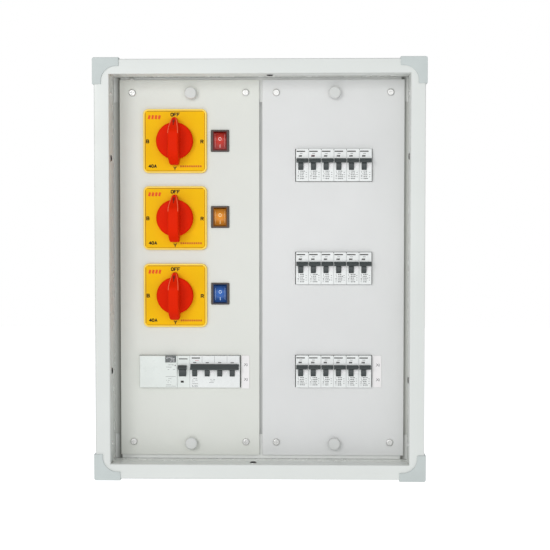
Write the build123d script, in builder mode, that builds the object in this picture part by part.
from build123d import *
from math import cos, radians, sin
import os

os.makedirs("parts", exist_ok=True)

# Distribution board with three phase selector switches, in millimetres.
# X runs right, Y runs back into the wall and Z runs up. The origin is the centre of the wall face.
# A "depth" is a distance forward from the wall, so a depth d lies at Y = -d.

# ---------------------------------------------------------------- driving dimensions
sheet = 1.2
gap = 0.3

frame_width = 455.0
frame_height = 580.0
opening_width = 414.0
opening_height = 539.0
frame_border = (frame_width - opening_width) / 2
frame_depth = 145.0
outer_return_depth = 123.0
inner_return_depth = 119.0
corner_slit = 3.0
corner_slit_depth = 138.0

box_depth = 142.0
box_inner_width = opening_width + 2 * sheet + 2 * gap
box_inner_height = opening_height + 2 * sheet + 2 * gap
box_half_width = box_inner_width / 2
box_half_height = box_inner_height / 2
wall_hole_radius = 3.5
wall_hole_spacing_x = 300.0
wall_hole_spacing_z = 430.0

plate_depth = 95.0
plate_back = plate_depth - sheet
plate_top = 267.0
plate_bottom = -265.2
plate_flange = 3.4
plate_flange_height = 460.0
left_plate_edges = (-199.7, -1.8)
right_plate_edges = (2.2, 202.8)
left_plate_screws = (-181.4, -21.1)
right_plate_screws = (22.1, 183.1)
upper_screw_z = 249.0
lower_screw_z = -246.5
left_knob_x = -98.5
right_knob_x = 104.4
upper_knob_z = 248.0
lower_knob_z = -248.0

module = 17.8
case_gap = 0.2
row_centre_x = 103.3
row_centres_z = (146.7, 1.4, -144.8)
row_modules = 6
incomer_left = -171.8
incomer_z = -145.5
window_height = 46.2
window_side_gap = 1.0

selector_x = -121.0
selector_centres_z = (180.9, 72.3, -37.3)
rocker_x = -57.4
rocker_centres_z = (181.2, 73.8, -34.9)


# ---------------------------------------------------------------- planes and small helpers
def front(depth):
    """A plane that faces the user, at a depth in front of the wall: x runs right, y runs up."""
    return Plane.XZ.offset(depth)


def side(x, depth=0.0, z=0.0, tilt=0.0):
    """A plane seen from the right, centred on a point: x runs back into the wall, y runs up.

    A tilt in degrees turns the plane's axes anticlockwise, as seen from the right.
    """
    slant = radians(tilt)
    return Plane(origin=(x, -depth, z), x_dir=(0, cos(slant), sin(slant)), z_dir=(1, 0, 0))


def level(z):
    """A horizontal plane: x runs right, y runs back into the wall."""
    return Plane.XY.offset(z)


def keep(piece, name):
    """Label a finished piece and write its STEP file."""
    piece.part.label = name
    export_step(piece.part, f"parts/{name}.step")


def panels(piece, outlines, back, face):
    """The touching solids that a sheet-metal piece is welded up from.

    Each outline is a polygon seen from the front, and takes what lies inside it between two depths.
    """
    solids = []
    for outline in outlines:
        with BuildPart() as region:
            with BuildSketch(front(back)):
                with BuildLine():
                    Polyline(*outline, close=True)
                make_face()
            extrude(amount=face - back)
        solids += (piece.part & region.part).solids()
    return solids


def rectangle_outline(left, right, low, high):
    """Corners of an upright rectangle, in order."""
    return [(left, low), (right, low), (right, high), (left, high)]


def keep_panels(solids, name):
    """Write a group of touching solids as one labelled STEP file."""
    group = Compound(solids)
    group.label = name
    export_step(group, f"parts/{name}.step")


def span_rectangle(left, right, low, high):
    """A rectangle in the current sketch from its left and right edges and its low and high edges."""
    with Locations(((left + right) / 2, (low + high) / 2)):
        Rectangle(right - left, high - low)


def cross_screws(seat_depth, places, head_radius, head_height, shank_radius, length):
    """A group of pan-head screws with cross recesses, heads towards the user."""
    slot_length = 1.1 * head_radius
    slot_width = 0.26 * head_radius
    with BuildPart() as screws:
        with BuildSketch(front(seat_depth)):
            with Locations(*places):
                Circle(head_radius)
        extrude(amount=head_height)
        fillet(screws.faces().group_by(Axis.Y)[0].edges(), 0.6 * head_height)
        with BuildSketch(front(seat_depth + head_height)):
            with Locations(*places):
                Rectangle(slot_length, slot_width)
                Rectangle(slot_width, slot_length)
        extrude(amount=-0.5 * head_height, mode=Mode.SUBTRACT)
        with BuildSketch(front(seat_depth)):
            with Locations(*places):
                Circle(shank_radius)
        extrude(amount=-length)
    return screws


# ---------------------------------------------------------------- sheet-metal enclosure
rivet_radius = 1.6
rivet_hole_radius = rivet_radius + 0.05
rivet_depth = 125.0
rivet_z = 244.0
side_hole_radius = 2.8
side_hole_depth = 131.0
left_hole_zs = (155.0, -141.0)
right_hole_zs = (157.0, -153.0)
top_hole_x = 14.0
bottom_hole_x = -9.2
knockout_radius = 12.5
knockout_groove = 0.6
knockout_depth = 32.0
knockout_xs = (-140.0, 0.0, 70.0, 140.0)
cable_entry_x = -70.0
lug_depth = 66.0
lug_rivet_z = 248.0


# Round bars that cut the holes through the side, top and bottom walls of both box and frame.
with BuildPart() as side_hole_bars:
    with BuildSketch(Plane.YZ):
        with Locations((-rivet_depth, rivet_z), (-rivet_depth, -rivet_z)):
            Circle(rivet_hole_radius)
    extrude(amount=box_half_width + 2 * sheet, both=True)
    with BuildSketch(Plane.YZ):
        with Locations(*[(-side_hole_depth, z) for z in left_hole_zs]):
            Circle(side_hole_radius)
    extrude(amount=-box_half_width - 2 * sheet)
    with BuildSketch(Plane.YZ):
        with Locations(*[(-side_hole_depth, z) for z in right_hole_zs]):
            Circle(side_hole_radius)
    extrude(amount=box_half_width + 2 * sheet)
    with BuildSketch(Plane.XY):
        with Locations((top_hole_x, -side_hole_depth)):
            Circle(side_hole_radius)
    extrude(amount=box_half_height + 2 * sheet)
    with BuildSketch(Plane.XY):
        with Locations((bottom_hole_x, -side_hole_depth)):
            Circle(side_hole_radius)
    extrude(amount=-box_half_height - 2 * sheet)

with BuildPart() as back_box:
    with BuildSketch(front(0)):
        Rectangle(box_inner_width + 2 * sheet, box_inner_height + 2 * sheet)
    extrude(amount=box_depth)
    with BuildSketch(front(sheet)):
        Rectangle(box_inner_width, box_inner_height)
    extrude(amount=box_depth - sheet, mode=Mode.SUBTRACT)
    with BuildSketch(front(0)):
        with GridLocations(wall_hole_spacing_x, wall_hole_spacing_z, 2, 2):
            Circle(wall_hole_radius)
    extrude(amount=sheet, mode=Mode.SUBTRACT)
    add(side_hole_bars.part, mode=Mode.SUBTRACT)
    # lug rivet holes in the side walls
    with BuildSketch(Plane.YZ):
        with Locations((-lug_depth, lug_rivet_z), (-lug_depth, -lug_rivet_z)):
            Circle(rivet_hole_radius)
    extrude(amount=frame_width / 2, both=True, mode=Mode.SUBTRACT)
    # cable entries in the top and bottom walls: one knocked out, the others still closed by their grooves
    for wall_z, inward in ((box_half_height + sheet, -1), (-box_half_height - sheet, 1)):
        with BuildSketch(level(wall_z)):
            with Locations(*[(x, -knockout_depth) for x in knockout_xs]):
                Circle(knockout_radius)
                Circle(knockout_radius - 0.8, mode=Mode.SUBTRACT)
        extrude(amount=inward * knockout_groove, mode=Mode.SUBTRACT)
        with BuildSketch(level(wall_z)):
            with Locations((cable_entry_x, -knockout_depth)):
                Circle(knockout_radius)
        extrude(amount=inward * 2 * sheet, mode=Mode.SUBTRACT)
# the box is welded up from a back sheet, two full-height sides, a top and a bottom
wall_x = box_half_width + sheet
wall_z = box_half_height + sheet
box_panels = panels(back_box, [rectangle_outline(-wall_x, wall_x, -wall_z, wall_z)], 0, sheet)
box_panels += panels(
    back_box,
    [
        rectangle_outline(-wall_x, -box_half_width, -wall_z, wall_z),
        rectangle_outline(box_half_width, wall_x, -wall_z, wall_z),
        rectangle_outline(-box_half_width, box_half_width, box_half_height, wall_z),
        rectangle_outline(-box_half_width, box_half_width, -wall_z, -box_half_height),
    ],
    sheet,
    box_depth,
)
keep_panels(box_panels, "back_box")

with BuildPart() as front_frame:
    with BuildSketch(front(frame_depth - sheet)):
        Rectangle(frame_width, frame_height)
        Rectangle(opening_width, opening_height, mode=Mode.SUBTRACT)
    extrude(amount=sheet)
    with BuildSketch(front(outer_return_depth)):
        Rectangle(frame_width, frame_height)
        Rectangle(frame_width - 2 * sheet, frame_height - 2 * sheet, mode=Mode.SUBTRACT)
    extrude(amount=frame_depth - outer_return_depth)
    with BuildSketch(front(inner_return_depth)):
        Rectangle(opening_width + 2 * sheet, opening_height + 2 * sheet)
        Rectangle(opening_width, opening_height, mode=Mode.SUBTRACT)
    extrude(amount=frame_depth - inner_return_depth)
    # the inner return is left open at its four corners
    with BuildSketch(front(inner_return_depth)):
        with GridLocations(opening_width, opening_height, 2, 2):
            Rectangle(corner_slit, corner_slit)
    extrude(amount=corner_slit_depth - inner_return_depth, mode=Mode.SUBTRACT)
    # rounded outer and inner bends of the face
    bends = front_frame.faces().group_by(Axis.Y)[0].edges()
    fillet(bends, 0.9)
    add(side_hole_bars.part, mode=Mode.SUBTRACT)
# four folded channels meet in mitres at the corners
mitre_out = (frame_width / 2 + sheet, frame_height / 2 + sheet)
mitre_in = (mitre_out[0] - frame_border - 2 * sheet, mitre_out[1] - frame_border - 2 * sheet)
upper_channel = [
    (-mitre_out[0], mitre_out[1]),
    (mitre_out[0], mitre_out[1]),
    (mitre_in[0], mitre_in[1]),
    (-mitre_in[0], mitre_in[1]),
]
right_channel = [
    (mitre_out[0], mitre_out[1]),
    (mitre_out[0], -mitre_out[1]),
    (mitre_in[0], -mitre_in[1]),
    (mitre_in[0], mitre_in[1]),
]
channel_outlines = [
    upper_channel,
    [(x, -z) for x, z in upper_channel],
    right_channel,
    [(-x, z) for x, z in right_channel],
]
frame_channels = panels(front_frame, channel_outlines, inner_return_depth - sheet, frame_depth + sheet)
keep_panels(frame_channels, "front_frame")

# Corner caps: moulded L-shaped shells with a wide hollow curve between their legs.
cap_overhang = 2.2
cap_leg = 36.5
cap_leg_width = 12.0
cap_curve = 20.5
cap_face = 1.8
cap_back_depth = 117.0
cap_x = frame_width / 2 + cap_overhang
cap_z = frame_height / 2 + cap_overhang

with BuildPart() as corner_caps:
    with BuildSketch(front(cap_back_depth)) as cap_outline:
        span_rectangle(cap_x - cap_leg, cap_x, cap_z - cap_leg_width, cap_z)
        span_rectangle(cap_x - cap_leg_width, cap_x, cap_z - cap_leg, cap_z)
        corners = cap_outline.vertices()
        fillet(corners.sort_by_distance((cap_x - cap_leg_width, cap_z - cap_leg_width))[0], cap_curve)
        fillet(cap_outline.vertices().sort_by_distance((cap_x, cap_z))[0], 3.0)
    extrude(amount=frame_depth + cap_face - cap_back_depth)
    fillet(corner_caps.faces().group_by(Axis.Y)[0].edges(), 0.8)
    # the frame's corner fills the shell; behind the frame the legs wrap round as a thin skirt
    with BuildSketch(front(cap_back_depth)):
        Rectangle(frame_width, frame_height)
    extrude(amount=frame_depth - cap_back_depth, mode=Mode.SUBTRACT)
    mirror(about=Plane.YZ)
    mirror(about=Plane.XY)
keep(corner_caps, "corner_caps")

# Blind rivets: through frame return and box wall, and through box wall and side angles.
rivet_head_radius = 3.2
rivet_head_height = 1.0
rivet_tail_radius = 2.6
angle_sheet = 1.5


frame_grip = box_half_width + sheet - opening_width / 2
lug_face_x = box_half_width - angle_sheet
lug_grip = angle_sheet + sheet
rivet_rows = [(opening_width / 2, rivet_depth, hand * rivet_z, frame_grip) for hand in (-1, 1)]
rivet_rows += [(lug_face_x, lug_depth, hand * lug_rivet_z, lug_grip) for hand in (-1, 1)]
with BuildPart() as rivets:
    for inner_face_x, depth, centre_z, grip in rivet_rows:
        for hand in (-1, 1):
            with BuildSketch(side(hand * inner_face_x, depth, centre_z)):
                Circle(rivet_head_radius)
            extrude(amount=-hand * rivet_head_height)
            with BuildSketch(side(hand * inner_face_x, depth, centre_z)):
                Circle(rivet_radius)
            extrude(amount=hand * grip)
            with BuildSketch(side(hand * (inner_face_x + grip), depth, centre_z)):
                Circle(rivet_tail_radius)
            extrude(amount=hand * rivet_head_height)
keep(rivets, "rivets")

# ---------------------------------------------------------------- plate rails, side angles and centre post
rail_front = 91.3
rail_low_z = 236.0
rail_high_z = 270.7
rail_wall_flange_depth = 62.0
rail_half_length = box_half_width - gap
nut_shank_radius = 3.5
nut_collar_radius = 4.5
lug_reach_x = 172.0
angle_back_depth = 56.0
angle_reach_x = 190.0
angle_slot_x = 204.3
lug_half_height = 11.0
rail_screw_radius = 2.0
rail_screw_places = ((-182.6, 266.6), (182.6, 260.0), (-182.6, -260.0), (182.6, -260.0))
post_half_width = 11.0
post_flange = 8.0
post_screw_places = [(x, z) for x in (-6.5, 6.5) for z in (-258.0, 258.0)]
nut_places = [
    (x, z)
    for x in left_plate_screws + right_plate_screws
    for z in (upper_screw_z, lower_screw_z)
]

with BuildPart() as plate_rails:
    for hand in (1, -1):
        with BuildSketch(front(rail_front)):
            with Locations((0, hand * (rail_low_z + rail_high_z) / 2)):
                Rectangle(2 * rail_half_length, rail_high_z - rail_low_z)
        extrude(amount=-sheet)
        with BuildSketch(level(hand * rail_high_z)):
            span_rectangle(-rail_half_length, rail_half_length, -rail_front, -rail_wall_flange_depth)
        extrude(amount=-hand * sheet)
    with BuildSketch(front(rail_front)):
        with Locations(*nut_places):
            Circle(nut_shank_radius + 0.05)
        with Locations(*rail_screw_places):
            Circle(rail_screw_radius + 0.05)
        with Locations(*post_screw_places):
            Circle(rail_screw_radius + 0.05)
    extrude(amount=-sheet, mode=Mode.SUBTRACT)
keep(plate_rails, "plate_rails")

# Angles up both sides of the box: the plates' long edges lie just in front of them, and their
# wide ends carry the rails.
angle_front = rail_front - sheet
angle_top_z = rail_high_z - sheet - gap
angle_end_z = lug_rivet_z - lug_half_height
with BuildPart() as side_angles:
    for hand in (-1, 1):
        wall, reach, wide_reach = hand * box_half_width, hand * angle_reach_x, hand * lug_reach_x
        with BuildSketch(front(angle_front)):
            span_rectangle(min(wall, reach), max(wall, reach), -angle_top_z, angle_top_z)
            for end in (-1, 1):
                span_rectangle(
                    min(wall, wide_reach),
                    max(wall, wide_reach),
                    min(end * angle_end_z, end * angle_top_z),
                    max(end * angle_end_z, end * angle_top_z),
                )
        extrude(amount=-angle_sheet)
        with BuildSketch(side(wall)):
            span_rectangle(-angle_front, -angle_back_depth, -angle_top_z, angle_top_z)
        extrude(amount=-hand * angle_sheet)
    with BuildSketch(front(rail_front)):
        with Locations(*rail_screw_places):
            Circle(rail_screw_radius + 0.05)
        with Locations(*nut_places):
            Circle(nut_shank_radius + 0.05)
        with GridLocations(2 * angle_slot_x, 2 * rivet_z, 2, 2):
            Rectangle(3.0, 6.0)
    extrude(amount=-2 * nut_collar_radius, mode=Mode.SUBTRACT)
    with BuildSketch(Plane.YZ):
        with Locations((-lug_depth, lug_rivet_z), (-lug_depth, -lug_rivet_z)):
            Circle(rivet_hole_radius)
    extrude(amount=box_half_width, both=True, mode=Mode.SUBTRACT)
keep(side_angles, "side_angles")

with BuildPart() as plate_nuts:
    with BuildSketch(front(plate_back)):
        with Locations(*nut_places):
            Circle(nut_collar_radius)
    extrude(amount=rail_front - plate_back)
    with BuildSketch(front(rail_front)):
        with Locations(*nut_places):
            Circle(nut_shank_radius)
    extrude(amount=-nut_collar_radius)
    with BuildSketch(front(plate_back)):
        with Locations(*nut_places):
            Circle(2.5)
    extrude(amount=-plate_back + rail_front - nut_collar_radius, mode=Mode.SUBTRACT)
keep(plate_nuts, "plate_nuts")

with BuildPart() as centre_post:
    post_front = rail_front - sheet
    with BuildSketch(level(-rail_high_z + 2 * sheet)):
        with Locations((0, -post_front + sheet / 2)):
            Rectangle(2 * post_half_width, sheet)
        for hand in (-1, 1):
            with Locations((hand * (post_half_width - sheet / 2), -post_front + post_flange / 2)):
                Rectangle(sheet, post_flange)
    extrude(amount=2 * (rail_high_z - 2 * sheet))
    with BuildSketch(front(rail_front)):
        with Locations(*post_screw_places):
            Circle(rail_screw_radius + 0.05)
    extrude(amount=-2 * post_flange, mode=Mode.SUBTRACT)
keep(centre_post, "centre_post")

# ---------------------------------------------------------------- cover plates
plate_screw_hole = 2.8
lifting_hole = 2.3
selector_hole = 8.0
bolt_spacing = 48.0
bolt_hole = 2.2
rocker_body_width = 22.0
rocker_body_height = 28.4
row_window_width = row_modules * module + 2 * window_side_gap
incomer_modules = 8
incomer_window_centre = incomer_left + incomer_modules * module / 2
incomer_window_width = incomer_modules * module + 2 * window_side_gap


def cover_plate(edges, screw_xs, knob_x, windows, round_holes):
    """A flat plate with a folded flange down each long side and cut-outs for its devices."""
    left, right = edges
    with BuildPart() as plate:
        with BuildSketch(front(plate_back)):
            span_rectangle(left, right, plate_bottom, plate_top)
        extrude(amount=sheet)
        fillet(plate.edges().filter_by(Axis.Z).group_by(Axis.Y)[0], 0.8)
        with BuildSketch(front(plate_back)):
            span_rectangle(left, left + sheet, -plate_flange_height / 2, plate_flange_height / 2)
            span_rectangle(right - sheet, right, -plate_flange_height / 2, plate_flange_height / 2)
        extrude(amount=-plate_flange)
        with BuildSketch(front(plate_back)):
            with Locations(*[(x, z) for x in screw_xs for z in (upper_screw_z, lower_screw_z)]):
                Circle(plate_screw_hole)
            with Locations((knob_x, upper_knob_z), (knob_x, lower_knob_z)):
                Circle(lifting_hole)
            for centre_x, centre_z, width, height in windows:
                with Locations((centre_x, centre_z)):
                    Rectangle(width, height)
            for centre_x, centre_z, radius in round_holes:
                with Locations((centre_x, centre_z)):
                    Circle(radius)
        extrude(amount=sheet, mode=Mode.SUBTRACT)
    return plate


left_windows = [(incomer_window_centre, incomer_z, incomer_window_width, window_height)]
left_windows += [(rocker_x, z, rocker_body_width + gap, rocker_body_height + gap) for z in rocker_centres_z]
left_holes = [(selector_x, z, selector_hole) for z in selector_centres_z]
bolt_places = [
    (selector_x + dx * bolt_spacing / 2, z + dz * bolt_spacing / 2)
    for z in selector_centres_z
    for dx in (-1, 1)
    for dz in (-1, 1)
]
left_holes += [(x, z, bolt_hole) for x, z in bolt_places]
left_plate = cover_plate(left_plate_edges, left_plate_screws, left_knob_x, left_windows, left_holes)
keep(left_plate, "left_plate")

right_windows = [(row_centre_x, z, row_window_width, window_height) for z in row_centres_z]
right_plate = cover_plate(right_plate_edges, right_plate_screws, right_knob_x, right_windows, [])
keep(right_plate, "right_plate")

plate_screws = cross_screws(plate_depth, nut_places, 5.0, 2.6, 2.4, 9.5)
keep(plate_screws, "plate_screws")

# Lifting knobs: round plastic knobs on a thin neck, each held by a stud and nut behind the plate.
knob_radius = 8.5
knob_height = 10.0
lifting_places = [(x, z) for x in (left_knob_x, right_knob_x) for z in (upper_knob_z, lower_knob_z)]
with BuildPart() as lifting_knobs:
    with BuildSketch(front(plate_depth)):
        with Locations(*lifting_places):
            Circle(0.62 * knob_radius)
    extrude(amount=knob_height)
    with BuildSketch(front(plate_depth + 0.4 * knob_height)):
        with Locations(*lifting_places):
            Circle(knob_radius)
    extrude(amount=0.6 * knob_height)
    fillet(lifting_knobs.faces().group_by(Axis.Y)[0].edges(), 2.4)
    with BuildSketch(front(plate_depth)):
        with Locations(*lifting_places):
            Circle(lifting_hole - 0.05)
    extrude(amount=-2 * sheet)
    with BuildSketch(front(plate_back)):
        with Locations(*lifting_places):
            RegularPolygon(4.0, 6)
    extrude(amount=-2.2)
keep(lifting_knobs, "lifting_knobs")

# White strips that blank the spare width beside the incomer and the bottom row.
with BuildPart() as blanking_strips:
    with BuildSketch(front(plate_depth)):
        span_rectangle(-27.2, -16.2, incomer_z - 24.5, incomer_z + 22.5)
        span_rectangle(row_centre_x + 56.0, row_centre_x + 67.8, incomer_z - 22.0, incomer_z + 22.8)
    extrude(amount=1.0)
    fillet(blanking_strips.edges().filter_by(Axis.Y), 1.0)
keep(blanking_strips, "blanking_strips")

# ---------------------------------------------------------------- DIN rails and their carriers
brim_depth = 41.0
rail_sheet = 1.0
rail_base_depth = brim_depth - 7.5
brim_half_height = 17.5
brim_inner = 13.5
right_rail_half = 66.0
left_rail_half = 84.0
carrier_offset = 56.0
left_carrier_offset = 74.0
carrier_half_width = 12.5
carrier_sheet = 1.5
carrier_foot = 12.0
din_rail_places = [(row_centre_x, z, right_rail_half) for z in row_centres_z]
din_rail_places += [(incomer_window_centre, incomer_z, left_rail_half)]

with BuildPart() as din_rails:
    for centre_x, centre_z, half_length in din_rail_places:
        with BuildSketch(side(centre_x, 0, centre_z)):
            for hand in (-1, 1):
                span_rectangle(
                    -brim_depth,
                    -brim_depth + rail_sheet,
                    min(hand * (brim_inner - rail_sheet), hand * brim_half_height),
                    max(hand * (brim_inner - rail_sheet), hand * brim_half_height),
                )
                span_rectangle(
                    -brim_depth,
                    -rail_base_depth,
                    min(hand * (brim_inner - rail_sheet), hand * brim_inner),
                    max(hand * (brim_inner - rail_sheet), hand * brim_inner),
                )
            span_rectangle(-rail_base_depth - rail_sheet, -rail_base_depth, -brim_inner, brim_inner)
        extrude(amount=half_length, both=True)
    din_screw_places = [
        (x + dx * (carrier_offset if x > 0 else left_carrier_offset), z)
        for x, z, _ in din_rail_places
        for dx in (-1, 1)
    ]
    with BuildSketch(front(rail_base_depth)):
        with Locations(*din_screw_places):
            Circle(2.55)
    extrude(amount=rail_sheet, mode=Mode.SUBTRACT)
keep(din_rails, "din_rails")

carriers = [(row_centre_x + dx * carrier_offset, -183.0, 185.0) for dx in (-1, 1)]
carriers += [
    (incomer_window_centre + dx * left_carrier_offset, incomer_z - 30.0, incomer_z + 30.0) for dx in (-1, 1)
]
with BuildPart() as rail_carriers:
    for centre_x, low_z, high_z in carriers:
        outer = carrier_half_width
        inner = carrier_half_width - carrier_sheet
        with BuildSketch(level(low_z)):
            web_back = -rail_base_depth + carrier_sheet
            span_rectangle(centre_x - outer, centre_x + outer, -rail_base_depth, web_back)
            for hand in (-1, 1):
                near = centre_x + hand * inner
                far = centre_x + hand * outer
                foot = centre_x + hand * (outer + carrier_foot)
                span_rectangle(min(near, far), max(near, far), -rail_base_depth, -sheet)
                span_rectangle(min(near, foot), max(near, foot), -sheet - carrier_sheet, -sheet)
        extrude(amount=high_z - low_z)
    with BuildSketch(front(rail_base_depth)):
        with Locations(*din_screw_places):
            Circle(2.55)
    extrude(amount=-carrier_sheet, mode=Mode.SUBTRACT)
keep(rail_carriers, "rail_carriers")

din_screws = cross_screws(rail_base_depth + rail_sheet, din_screw_places, 4.5, 2.6, 2.5, 8.0)
rail_screws = cross_screws(rail_front, rail_screw_places, 4.0, 2.2, rail_screw_radius, 6.0)
post_screws = cross_screws(
    rail_front, post_screw_places, 4.0, 2.2, rail_screw_radius, 6.0
)
with BuildPart() as machine_screws:
    add(din_screws.part)
    add(rail_screws.part)
    add(post_screws.part)
keep(machine_screws, "machine_screws")

# ---------------------------------------------------------------- modular breakers
nose_depth = 101.0
nose_half_height = 22.6
shoulder_depth = 85.0
case_half_height = 41.5
case_back_depth = 36.0
case_foot_depth = brim_depth - rail_sheet - 0.2
pivot_depth = 97.0
drum_radius = 7.5
drum_pocket_radius = drum_radius + 0.4
stem_width = 6.6
stem_offset = -2.0
trunnion_radius = 1.5
trunnion_length = 1.2
running_clearance = 0.05
on_angle = 40.0
bar_root = 8.4
bar_tip = 11.4
bar_thickness = 6.0
stem_thickness = 3.6
toggle_bar_width = 16.5
clamp_z = 32.0
clamp_hole_radius = 2.8
clamp_depth = 12.0
entry_width = 8.0
entry_height = 9.0
entry_depth = 66.0


def breaker_blank(left, right, centre_z):
    """The stepped case of a modular device that hooks on a DIN rail, as a plain solid."""
    with BuildPart() as blank:
        with BuildSketch(side(left, 0, centre_z)):
            with BuildLine():
                Polyline(
                    (-nose_depth, -nose_half_height),
                    (-nose_depth, nose_half_height),
                    (-shoulder_depth, nose_half_height),
                    (-shoulder_depth, case_half_height),
                    (-case_back_depth, case_half_height),
                    (-case_back_depth, brim_half_height - 1.5),
                    (-case_foot_depth, brim_half_height - 1.5),
                    (-case_foot_depth, brim_half_height + gap),
                    (-brim_depth, brim_half_height + gap),
                    (-brim_depth, -brim_half_height - gap),
                    (-case_back_depth, -brim_half_height - gap),
                    (-case_back_depth, -case_half_height),
                    (-shoulder_depth, -case_half_height),
                    (-shoulder_depth, -nose_half_height),
                    close=True,
                )
            make_face()
        extrude(amount=right - left)
    return blank.part


def toggle_pockets(stem_xs, centre_z, width):
    """Cutting solids for the drum pockets and trunnion bores of a row of toggles."""
    with BuildPart() as pockets:
        for stem_x in stem_xs:
            with BuildSketch(side(stem_x, pivot_depth, centre_z)):
                Circle(drum_pocket_radius)
            extrude(amount=width / 2 + gap, both=True)
            with BuildSketch(side(stem_x, pivot_depth, centre_z)):
                Circle(trunnion_radius + running_clearance)
            extrude(amount=width / 2 + gap + trunnion_length, both=True)
    return pockets.part


def clamp_wells(module_xs, centre_z):
    """Cutting solids for the screw wells in the shoulders and the wire entries in the ends."""
    with BuildPart() as wells:
        with BuildSketch(front(shoulder_depth)):
            with Locations(*[(x, centre_z + hand * clamp_z) for x in module_xs for hand in (-1, 1)]):
                Circle(clamp_hole_radius)
        extrude(amount=-clamp_depth)
        for hand in (-1, 1):
            with BuildSketch(level(centre_z + hand * case_half_height)):
                with Locations(*[(x, -entry_depth) for x in module_xs]):
                    Rectangle(entry_width, entry_height)
            extrude(amount=-hand * clamp_depth)
    return wells.part


def toggle_drum(stem_x, centre_z, width, tip, thickness):
    """A toggle's drum with its two trunnions and the stem of its finger bar, in the ON position."""
    pivot = side(stem_x, pivot_depth, centre_z)
    with BuildPart() as drum:
        with BuildSketch(pivot):
            Circle(drum_radius)
        extrude(amount=width / 2, both=True)
        with BuildSketch(pivot):
            Circle(trunnion_radius)
        extrude(amount=width / 2 + gap + trunnion_length - 0.2, both=True)
        with BuildSketch(side(stem_x, pivot_depth, centre_z, -on_angle)):
            span_rectangle(-tip, -0.5 * drum_radius, -thickness / 2, thickness / 2)
        extrude(amount=width / 2, both=True)
    return drum.part


def toggle_bar(centre_x, centre_z, width, root, tip, thickness):
    """A finger bar that stands out of a drum, raised to the ON position."""
    with BuildPart() as bar:
        with BuildSketch(side(centre_x - width / 2, pivot_depth, centre_z, -on_angle)) as section:
            span_rectangle(-tip, -root, -thickness / 2, thickness / 2)
            fillet(section.vertices(), 0.5)
        extrude(amount=width)
    return bar.part


def module_centres(left, count):
    return [left + (index + 0.5) * module for index in range(count)]


row_left = row_centre_x - row_modules * module / 2
row_module_xs = module_centres(row_left, row_modules)
row_stem_xs = [x + stem_offset for x in row_module_xs]
for row_index, row_z in enumerate(row_centres_z, start=1):
    with BuildPart() as row_cases:
        for module_x in row_module_xs:
            half_case = (module - case_gap) / 2
            add(breaker_blank(module_x - half_case, module_x + half_case, row_z))
        chamfer(row_cases.edges().filter_by(Axis.Z).group_by(Axis.Y)[0], 0.4)
        add(toggle_pockets(row_stem_xs, row_z, stem_width), mode=Mode.SUBTRACT)
        add(clamp_wells(row_module_xs, row_z), mode=Mode.SUBTRACT)
    keep(row_cases, f"row_{row_index}_cases")
    for toggle_index, module_x in enumerate(row_module_xs, start=1):
        with BuildPart() as row_toggle:
            add(toggle_drum(module_x + stem_offset, row_z, stem_width, bar_tip - 0.5, stem_thickness))
            add(toggle_bar(module_x, row_z, toggle_bar_width, bar_root, bar_tip, bar_thickness))
        keep(row_toggle, f"row_{row_index}_toggle_{toggle_index}")

# Four-pole incomer breaker with one ganged toggle bar.
main_poles = 4
main_left = incomer_left + main_poles * module
main_xs = module_centres(main_left, main_poles)
ganged_bar_width = 68.8
ganged_root = 9.4
ganged_tip = 12.4
ganged_thickness = 8.8
with BuildPart() as main_breaker_case:
    add(breaker_blank(main_left + case_gap / 2, main_left + main_poles * module - case_gap / 2, incomer_z))
    chamfer(main_breaker_case.edges().filter_by(Axis.Z).group_by(Axis.Y)[0], 0.4)
    add(toggle_pockets([x + stem_offset for x in main_xs], incomer_z, stem_width), mode=Mode.SUBTRACT)
    add(clamp_wells(main_xs, incomer_z), mode=Mode.SUBTRACT)
keep(main_breaker_case, "main_breaker_case")

with BuildPart() as main_breaker_toggle:
    for pole_x in main_xs:
        add(toggle_drum(pole_x + stem_offset, incomer_z, stem_width, ganged_tip - 0.5, stem_thickness))
    main_centre_x = (main_xs[0] + main_xs[-1]) / 2
    add(toggle_bar(main_centre_x, incomer_z, ganged_bar_width, ganged_root, ganged_tip, ganged_thickness))
keep(main_breaker_toggle, "main_breaker_toggle")

# Residual current breaker: three modules stand a little prouder and carry the test button,
# the fourth carries the toggle.
rccb_proud_width = 53.4
rccb_proud = 2.0
rccb_toggle_x = incomer_left + rccb_proud_width + module / 2 - 1.4
rccb_drum_width = 10.0
rccb_bar_width = 12.4
button_width = 14.5
button_height = 8.8
button_x = incomer_left + 44.2
button_z = incomer_z + nose_half_height - 0.3 - button_height / 2
button_front = nose_depth + rccb_proud + 1.2
button_back = nose_depth - 5.0
button_travel_room = 2.0
with BuildPart() as rccb_case:
    add(breaker_blank(incomer_left + case_gap / 2, main_left - case_gap / 2, incomer_z))
    with BuildSketch(front(nose_depth)):
        span_rectangle(
            incomer_left + case_gap / 2,
            incomer_left + rccb_proud_width,
            incomer_z - nose_half_height,
            incomer_z + nose_half_height,
        )
    extrude(amount=rccb_proud)
    chamfer(rccb_case.faces().group_by(Axis.Y)[0].edges(), 0.5)
    add(toggle_pockets([rccb_toggle_x], incomer_z, rccb_drum_width), mode=Mode.SUBTRACT)
    add(clamp_wells(module_centres(incomer_left, main_poles), incomer_z), mode=Mode.SUBTRACT)
    # the test button's pocket is open along the top edge of the nose
    with BuildSketch(front(button_back - button_travel_room)):
        span_rectangle(
            button_x - button_width / 2 - gap,
            button_x + button_width / 2 + gap,
            button_z - button_height / 2 - gap,
            incomer_z + nose_half_height,
        )
    extrude(amount=nose_half_height, mode=Mode.SUBTRACT)
keep(rccb_case, "rccb_case")

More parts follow.
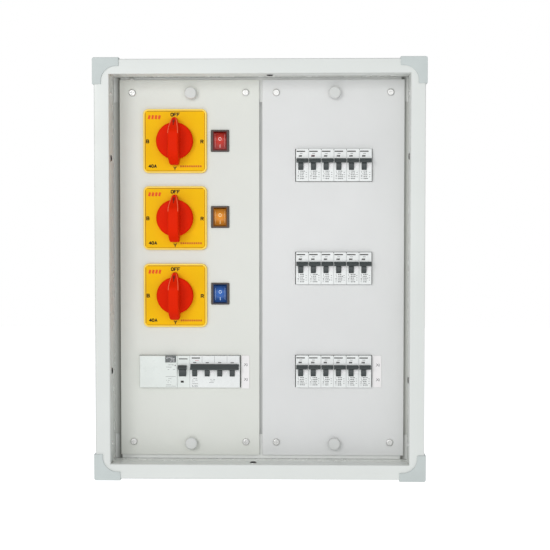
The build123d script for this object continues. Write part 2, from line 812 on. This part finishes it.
with BuildPart() as rccb_toggle:
    add(toggle_drum(rccb_toggle_x, incomer_z, rccb_drum_width, bar_tip - 0.5, stem_thickness))
    add(toggle_bar(rccb_toggle_x, incomer_z, rccb_bar_width, bar_root, bar_tip, bar_thickness))
keep(rccb_toggle, "rccb_toggle")

with BuildPart() as test_button:
    with BuildSketch(front(button_back)):
        with Locations((button_x, button_z)):
            Rectangle(button_width, button_height)
    extrude(amount=button_front - button_back)
    chamfer(test_button.faces().group_by(Axis.Y)[0].edges(), 0.6)
keep(test_button, "test_button")

# Busbar combs that join the lower terminals of each row.
comb_tooth_width = 5.0
comb_tooth_height = 9.0
comb_bar_height = 2.0
comb_bar_reach = 8.0
with BuildPart() as busbar_combs:
    for row_z in row_centres_z:
        with BuildSketch(level(row_z - case_half_height - comb_bar_height)):
            span_rectangle(
                row_module_xs[0] - comb_tooth_width,
                row_module_xs[-1] + comb_tooth_width,
                -entry_depth - comb_bar_reach,
                -entry_depth + comb_bar_reach,
            )
        extrude(amount=comb_bar_height - gap)
        with BuildSketch(level(row_z - case_half_height - gap)):
            with Locations(*[(x, -entry_depth) for x in row_module_xs]):
                Rectangle(comb_tooth_width, comb_bar_height)
        extrude(amount=comb_tooth_height)
keep(busbar_combs, "busbar_combs")

# ---------------------------------------------------------------- neutral and earth bars
bar_length = 130.0
bar_width = 12.0
bar_height = 9.0
bar_base = 25.0
bar_screws_count = 10
bar_zs = (226.0, -226.0)
with BuildPart() as terminal_bars:
    with BuildSketch(front(bar_base)):
        with Locations(*[(row_centre_x, z) for z in bar_zs]):
            Rectangle(bar_length, bar_width)
    extrude(amount=bar_height)
    with BuildSketch(front(bar_base + bar_height)):
        for bar_z in bar_zs:
            with Locations((row_centre_x, bar_z)):
                with GridLocations(bar_width, 1, bar_screws_count, 1):
                    Circle(2.05)
    extrude(amount=-6.0, mode=Mode.SUBTRACT)
keep(terminal_bars, "terminal_bars")

with BuildPart() as bar_insulators:
    with BuildSketch(front(sheet)):
        for bar_z in bar_zs:
            for hand in (-1, 1):
                with Locations((row_centre_x + hand * (bar_length / 2 - 10), bar_z)):
                    Rectangle(14, 26)
    extrude(amount=bar_base - sheet)
keep(bar_insulators, "bar_insulators")

clamp_head_depth = shoulder_depth - clamp_depth + 3.0
incomer_module_xs = module_centres(incomer_left, incomer_modules)
clamp_places = [(x, z + hand * clamp_z) for z in row_centres_z for x in row_module_xs for hand in (-1, 1)]
clamp_places += [(x, incomer_z + hand * clamp_z) for x in incomer_module_xs for hand in (-1, 1)]
bar_screw_places = [
    (row_centre_x + (index - (bar_screws_count - 1) / 2) * bar_width, z)
    for z in bar_zs
    for index in range(bar_screws_count)
]
with BuildPart() as terminal_screws:
    with BuildSketch(front(shoulder_depth - clamp_depth)):
        with Locations(*clamp_places):
            Circle(clamp_hole_radius - 0.05)
    extrude(amount=3.0)
    with BuildSketch(front(clamp_head_depth)):
        with Locations(*clamp_places):
            Rectangle(4.4, 0.9)
    extrude(amount=-1.0, mode=Mode.SUBTRACT)
    with BuildSketch(front(bar_base + 4.0)):
        with Locations(*bar_screw_places):
            Circle(2.0)
    extrude(amount=bar_height)
    with BuildSketch(front(bar_base + 4.0 + bar_height)):
        with Locations(*bar_screw_places):
            Rectangle(3.4, 0.8)
    extrude(amount=-1.0, mode=Mode.SUBTRACT)
keep(terminal_screws, "terminal_screws")

# ---------------------------------------------------------------- phase selector switches
escutcheon_size = 90.0
escutcheon_corner = 7.5
escutcheon_thickness = 3.4
rim_height = 0.8
rim_width = 2.4
escutcheon_front = plate_depth + escutcheon_thickness
panel_size = escutcheon_size - 2 * rim_width
shaft_hole = 7.0
selector_places = [(selector_x, z) for z in selector_centres_z]
with BuildPart() as selector_escutcheons:
    with BuildSketch(front(plate_depth)):
        with Locations(*selector_places):
            RectangleRounded(escutcheon_size, escutcheon_size, escutcheon_corner)
    extrude(amount=escutcheon_thickness + rim_height)
    fillet(selector_escutcheons.faces().group_by(Axis.Y)[0].edges(), 1.2)
    with BuildSketch(front(escutcheon_front)):
        with Locations(*selector_places):
            RectangleRounded(panel_size, panel_size, escutcheon_corner - rim_width)
    extrude(amount=rim_height, mode=Mode.SUBTRACT)
    with BuildSketch(front(plate_depth)):
        with Locations(*selector_places):
            Circle(shaft_hole)
    extrude(amount=escutcheon_thickness, mode=Mode.SUBTRACT)
keep(selector_escutcheons, "selector_escutcheons")

deck_size = 60.0
deck_corner = 6.0
front_bearing = 4.0
deck_thickness = 13.0
deck_count = 3
end_bearing = 4.0
rotor_bore = 13.0
shaft_radius = 6.0
deck_front = plate_back - front_bearing
deck_back = deck_front - deck_count * deck_thickness
with BuildPart() as selector_decks:
    layers = [(plate_back, front_bearing, shaft_radius + running_clearance)]
    for index in range(deck_count):
        layers += [(deck_front - index * deck_thickness, deck_thickness, rotor_bore)]
    layers += [(deck_back, end_bearing, shaft_radius + running_clearance)]
    for layer_front, thickness, bore in layers:
        with BuildSketch(front(layer_front)):
            for place in selector_places:
                with Locations(place):
                    RectangleRounded(deck_size, deck_size, deck_corner)
                    Circle(bore, mode=Mode.SUBTRACT)
            with Locations(*bolt_places):
                Circle(bolt_hole, mode=Mode.SUBTRACT)
        extrude(amount=-(thickness - 0.1))
keep(selector_decks, "selector_decks")

bolt_length = plate_depth - deck_back + end_bearing + 3.0
with BuildPart() as selector_bolts:
    with BuildSketch(front(plate_depth)):
        with Locations(*bolt_places):
            Circle(bolt_hole - 0.05)
    extrude(amount=-bolt_length)
    with BuildSketch(front(deck_back - end_bearing)):
        with Locations(*bolt_places):
            RegularPolygon(4.0, 6)
    extrude(amount=-2.5)
keep(selector_bolts, "selector_bolts")

# Rotary knob: a round skirt with a tall grip bar across it, tapered to a pointer at its upper end.
skirt_radius = 26.0
skirt_back = escutcheon_front + 0.7
skirt_front = skirt_back + 8.5
grip_front = skirt_back + 29.0
grip_half_width = 7.9
grip_reach = 34.0
pointer_half_width = 3.0
pointer_start = 13.0
pointer_tip_depth = skirt_back + 9.0
tail_start = -25.0
tail_half_width = 5.2
tail_tip_depth = skirt_back + 15.0
socket_half = 4.05
socket_length = 12.0
arrow_half_width = 2.6
arrow_length = 11.0
arrow_cut = 0.9


def selector_grip(centre_z):
    """The grip bar of a knob: an upright bar with a sloping pointer above and a cut-back tail below."""
    with BuildPart() as grip:
        with BuildSketch(front(skirt_back)):
            with BuildLine():
                Polyline(
                    (selector_x - pointer_half_width, centre_z + grip_reach),
                    (selector_x + pointer_half_width, centre_z + grip_reach),
                    (selector_x + grip_half_width, centre_z + pointer_start),
                    (selector_x + grip_half_width, centre_z + tail_start),
                    (selector_x + tail_half_width, centre_z - grip_reach),
                    (selector_x - tail_half_width, centre_z - grip_reach),
                    (selector_x - grip_half_width, centre_z + tail_start),
                    (selector_x - grip_half_width, centre_z + pointer_start),
                    close=True,
                )
            make_face()
        extrude(amount=grip_front - skirt_back)
        with BuildSketch(side(selector_x, 0, centre_z)):
            with BuildLine():
                Polyline(
                    (-grip_front, pointer_start),
                    (-pointer_tip_depth, grip_reach + 1),
                    (-grip_front - 1, grip_reach + 1),
                    (-grip_front - 1, pointer_start),
                    close=True,
                )
            make_face()
            with BuildLine():
                Polyline(
                    (-grip_front, tail_start),
                    (-tail_tip_depth, -grip_reach - 1),
                    (-grip_front - 1, -grip_reach - 1),
                    (-grip_front - 1, tail_start),
                    close=True,
                )
            make_face()
        extrude(amount=grip_half_width + 1, both=True, mode=Mode.SUBTRACT)
        outer_faces = grip.faces().filter_by(lambda face: face.normal_at().Y < -0.3)
        fillet(outer_faces.edges(), 1.2)
    return grip.part


def arrow_groove(centre_z):
    """The triangle sunk into the pointer's slope."""
    slope = Vector(0, grip_front - pointer_tip_depth, grip_reach + 1 - pointer_start)
    arrow_plane = Plane(
        origin=(selector_x, -grip_front, centre_z + pointer_start),
        x_dir=(1, 0, 0),
        z_dir=Vector(1, 0, 0).cross(slope),
    )
    with BuildPart() as groove:
        with BuildSketch(arrow_plane):
            with BuildLine():
                Polyline(
                    (-arrow_half_width, slope.length - 2.0 - arrow_length),
                    (arrow_half_width, slope.length - 2.0 - arrow_length),
                    (0, slope.length - 2.0),
                    close=True,
                )
            make_face()
        extrude(amount=arrow_cut, both=True)
    return groove.part


def selector_knob(centre_z):
    """One red knob, pointing up to its OFF mark."""
    with BuildPart() as knob:
        with BuildSketch(front(skirt_back)):
            with Locations((selector_x, centre_z)):
                Circle(skirt_radius)
        extrude(amount=skirt_front - skirt_back)
        fillet(knob.faces().group_by(Axis.Y)[0].edges(), 3.0)
        add(selector_grip(centre_z))
        add(arrow_groove(centre_z), mode=Mode.SUBTRACT)
        # square socket for the shaft
        with BuildSketch(front(skirt_back)):
            with Locations((selector_x, centre_z)):
                Rectangle(2 * socket_half, 2 * socket_half)
        extrude(amount=socket_length, mode=Mode.SUBTRACT)
    return knob


def selector_shaft(centre_z):
    """The switch shaft: square drive end, round journals and one lobed cam in each deck."""
    with BuildPart() as shaft:
        with BuildSketch(front(deck_back - end_bearing + 0.5)):
            with Locations((selector_x, centre_z)):
                Circle(shaft_radius)
        extrude(amount=plate_depth - deck_back + end_bearing - 0.5)
        with BuildSketch(front(plate_depth)):
            with Locations((selector_x, centre_z)):
                Rectangle(2 * socket_half - 0.1, 2 * socket_half - 0.1)
        extrude(amount=skirt_back + socket_length - 0.3 - plate_depth)
        for index in range(deck_count):
            cam_plane = front(deck_front - index * deck_thickness - 3.0)
            with BuildSketch(cam_plane):
                with Locations((selector_x, centre_z)):
                    Circle(rotor_bore - 1.0)
                lobe_angle = 90.0 * index
                with Locations(Location((selector_x, centre_z), lobe_angle)):
                    with Locations((rotor_bore, 0)):
                        Rectangle(8.0, 10.0, mode=Mode.SUBTRACT)
            extrude(amount=-(deck_thickness - 6.0))
    return shaft


for selector_index, selector_z in enumerate(selector_centres_z, start=1):
    keep(selector_knob(selector_z), f"selector_{selector_index}_knob")
    keep(selector_shaft(selector_z), f"selector_{selector_index}_shaft")

# ---------------------------------------------------------------- lit rocker switches
bezel_width = 26.0
bezel_height = 31.0
bezel_depth = 2.0
bezel_front = plate_depth + bezel_depth
rocker_width = 16.6
rocker_radius = 12.4
rocker_pivot_depth = 93.0
rocker_face = 4.6
rocker_valley = 3.6
rocker_back = 3.0
rocker_edge = 11.5
rocker_tilt = 10.0
cavity_half_width = rocker_width / 2 + gap
cavity_half_height = rocker_radius + 0.4
cavity_back_depth = 84.0
housing_back_depth = 72.0
rocker_pin_radius = 1.5
rocker_pin_length = 1.5
rocker_places = [(rocker_x, z) for z in rocker_centres_z]
blade_width = 6.3
blade_thickness = 0.8
blade_length = 9.0
with BuildPart() as rocker_blades:
    with BuildSketch(front(housing_back_depth + 3.0)):
        for rocker_z in rocker_centres_z:
            with Locations((rocker_x, rocker_z)):
                with GridLocations(12.0, 9.0, 2, 3):
                    Rectangle(blade_width, blade_thickness)
    extrude(amount=-(blade_length + 3.0))
keep(rocker_blades, "rocker_blades")

with BuildPart() as rocker_housings:
    with BuildSketch(front(plate_depth)):
        with Locations(*rocker_places):
            RectangleRounded(bezel_width, bezel_height, 1.2)
    extrude(amount=bezel_depth)
    chamfer(rocker_housings.faces().group_by(Axis.Y)[0].edges(), 0.6)
    with BuildSketch(front(plate_depth)):
        with Locations(*rocker_places):
            Rectangle(rocker_body_width, rocker_body_height)
    extrude(amount=housing_back_depth - plate_depth)
    with BuildSketch(front(bezel_front)):
        with Locations(*rocker_places):
            Rectangle(2 * cavity_half_width, 2 * cavity_half_height)
    extrude(amount=cavity_back_depth - bezel_front, mode=Mode.SUBTRACT)
    for rocker_z in rocker_centres_z:
        with BuildSketch(side(rocker_x, rocker_pivot_depth, rocker_z)):
            Circle(rocker_pin_radius + running_clearance)
        extrude(amount=cavity_half_width + rocker_pin_length, both=True, mode=Mode.SUBTRACT)
    add(rocker_blades.part, mode=Mode.SUBTRACT)
keep(rocker_housings, "rocker_housings")

for rocker_index, rocker_z in enumerate(rocker_centres_z, start=1):
    rocker_plane = side(rocker_x, rocker_pivot_depth, rocker_z, rocker_tilt)
    with BuildPart() as rocker:
        with BuildSketch(rocker_plane):
            Circle(rocker_radius)
            with BuildLine():
                Polyline(
                    (-rocker_valley, 0),
                    (-rocker_face, rocker_edge),
                    (-rocker_face, rocker_radius + 1),
                    (rocker_back, rocker_radius + 1),
                    (rocker_back, -rocker_radius - 1),
                    (-rocker_face, -rocker_radius - 1),
                    (-rocker_face, -rocker_edge),
                    close=True,
                )
            make_face(mode=Mode.INTERSECT)
        extrude(amount=rocker_width / 2, both=True)
        with BuildSketch(rocker_plane):
            Circle(rocker_pin_radius)
        extrude(amount=cavity_half_width + rocker_pin_length - 0.2, both=True)
    keep(rocker, f"rocker_{rocker_index}")
